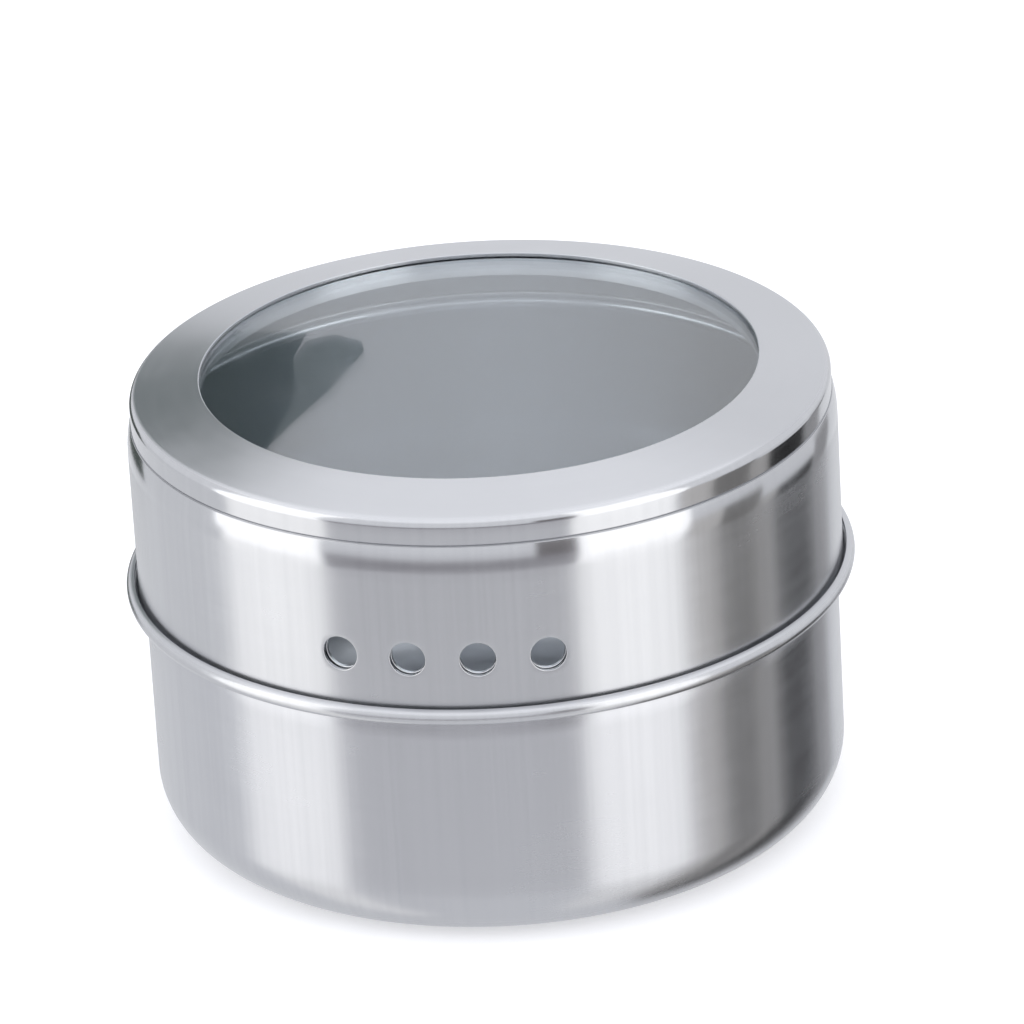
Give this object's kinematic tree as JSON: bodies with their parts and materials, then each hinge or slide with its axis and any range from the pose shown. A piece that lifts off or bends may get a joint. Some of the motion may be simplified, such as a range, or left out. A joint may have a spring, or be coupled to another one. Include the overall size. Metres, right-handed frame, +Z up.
{
  "type": "spice shaker tin",
  "caption": "Round drawn steel spice tin whose windowed lid turns on the neck to open or close a row of sprinkle holes, and pulls off to refill.",
  "frame": {"origin": "centre of the flat foot that the tin stands on, on its axis", "axes": "+Z up along the axis of the tin, the row of sprinkle holes toward -Y"},
  "size_m": [0.0672, 0.0672, 0.0435],
  "materials": {
    "cup_steel": "fine vertical and circumferential brushing, semi-bright",
    "lid_steel": "circumferential brushing, semi-bright",
    "ring_steel": "plain rolled sheet",
    "clear_window": "clear and glossy",
    "magnet": "dark matte ferrite",
    "pad": "foam tape"
  },
  "bodies": {
    "cup": {"tin_cup": "cup_steel", "base_magnet": "magnet", "magnet_adhesive_pad": "pad"},
    "lid_ring": {"window_retaining_ring": "ring_steel"},
    "lid": {"lid_shell": "lid_steel", "window_disc": "clear_window"}
  },
  "joints": [
    {"name": "lid_lift", "type": "slide", "parent": "cup", "child": "lid_ring", "axis": [0, 0, 1], "range_m": [0, 0.03]},
    {"name": "lid_turn", "type": "hinge", "parent": "lid_ring", "child": "lid", "pos_m": [0, 0, 0.035], "axis": [0, 0, 1], "continuous": true}
  ]
}
